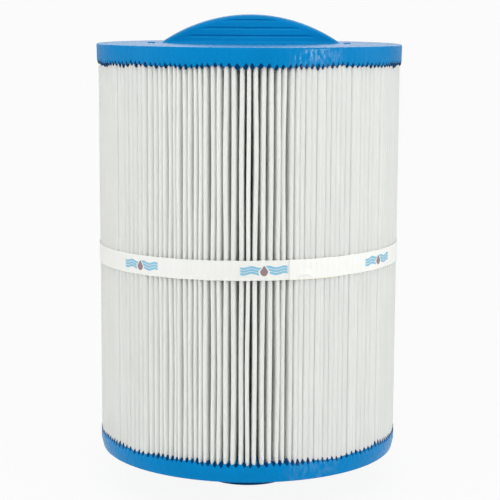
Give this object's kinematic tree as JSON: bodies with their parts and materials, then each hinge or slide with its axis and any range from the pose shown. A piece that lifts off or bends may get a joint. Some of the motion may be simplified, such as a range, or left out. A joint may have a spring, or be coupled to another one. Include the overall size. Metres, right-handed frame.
{
  "type": "filter cartridge",
  "caption": "Pleated round filter cartridge with two cast blue end caps, a grip fin on top and a threaded outlet spigot underneath.",
  "frame": {"origin": "centre of the spigot's free end, on the cartridge's axis", "axes": "+Z along the axis from the spigot to the grip, +X along the grip fin, -Y towards the front"},
  "size_m": [0.1524, 0.1524, 0.2367],
  "materials": {
    "cap_blue": "satin cast polyurethane",
    "adapter_blue": "moulded ABS",
    "core_white": "moulded polypropylene",
    "media_white": "spun-bonded polyester",
    "band_white": "thin translucent strap",
    "seam_glue": "hot-melt glue"
  },
  "bodies": {
    "root": {"top_end_cap": "cap_blue", "core_plug": "core_white", "core_tube": "core_white", "pleated_media": "media_white", "media_seam": "seam_glue", "retaining_band": "band_white", "band_adhesive": "seam_glue", "bottom_end_cap": "cap_blue", "threaded_adapter": "adapter_blue"}
  },
  "joints": []
}
